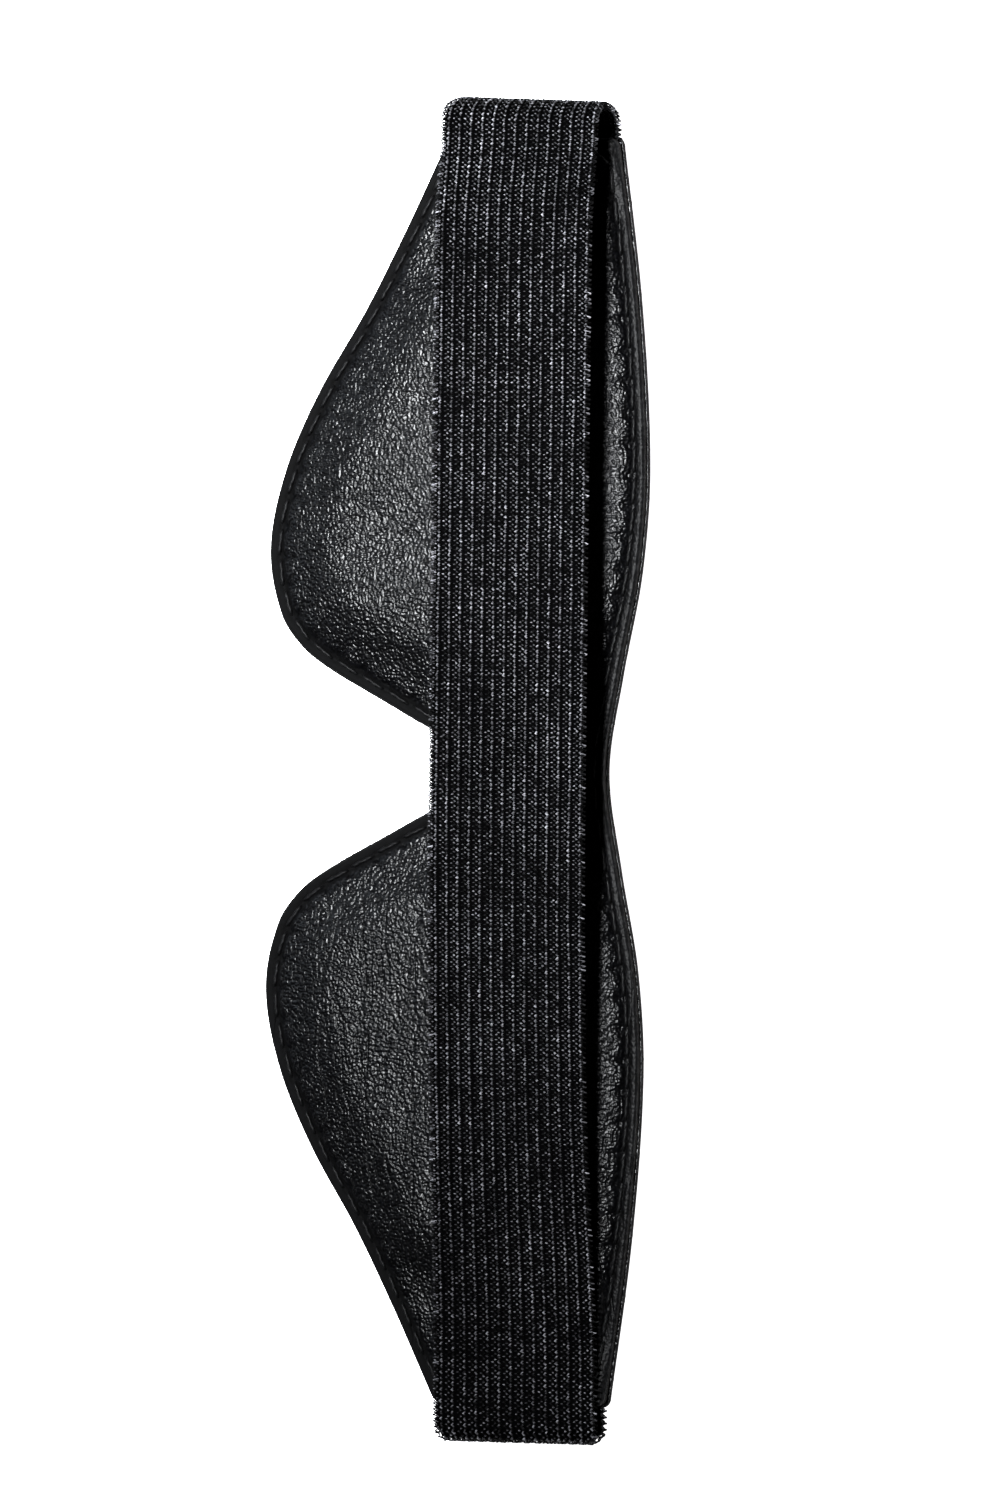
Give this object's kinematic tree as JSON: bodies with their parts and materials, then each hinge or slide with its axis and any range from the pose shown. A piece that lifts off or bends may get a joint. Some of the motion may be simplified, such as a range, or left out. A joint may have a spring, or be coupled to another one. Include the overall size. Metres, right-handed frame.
{
  "type": "eye mask",
  "caption": "Padded leather blindfold eye mask with a nose notch, stitched rim and a wide knitted elastic strap that lies over the lining.",
  "frame": {"origin": "middle of the base: the mask lies on its front face, and the origin is on that surface below the middle of the whole object", "axes": "+X along the mask towards the wearer's right eye, +Y from the cheeks to the brow, +Z from the front face to the wearer's side and the strap"},
  "size_m": [0.2424, 0.072, 0.0167],
  "materials": {
    "front_leather": "black grained leather, satin, with raw cut edges",
    "lining_leather": "soft blue-black pebble-grained leather, satin",
    "foam": "open-cell foam, matte",
    "elastic": "ribbed knitted elastic, matte",
    "thread": "waxed sewing thread, slight gloss"
  },
  "bodies": {
    "mask": {"front_leather_panel": "front_leather", "lining_leather_panel": "lining_leather", "foam_pad_left": "foam", "foam_pad_right": "foam", "strap_end_left": "elastic", "strap_end_right": "elastic", "edge_seam_needle_thread": "thread", "edge_seam_bobbin_thread": "thread", "anchor_seam_left_needle_thread": "thread", "anchor_seam_left_bobbin_thread": "thread", "anchor_seam_right_needle_thread": "thread", "anchor_seam_right_bobbin_thread": "thread"},
    "strap": {"elastic_strap": "elastic"}
  },
  "joints": [
    {"name": "strap_stretch", "type": "slide", "parent": "mask", "child": "strap", "axis": [0, 0, 1], "range_m": [0, 0.09], "stiffness_N_per_m": 60}
  ]
}
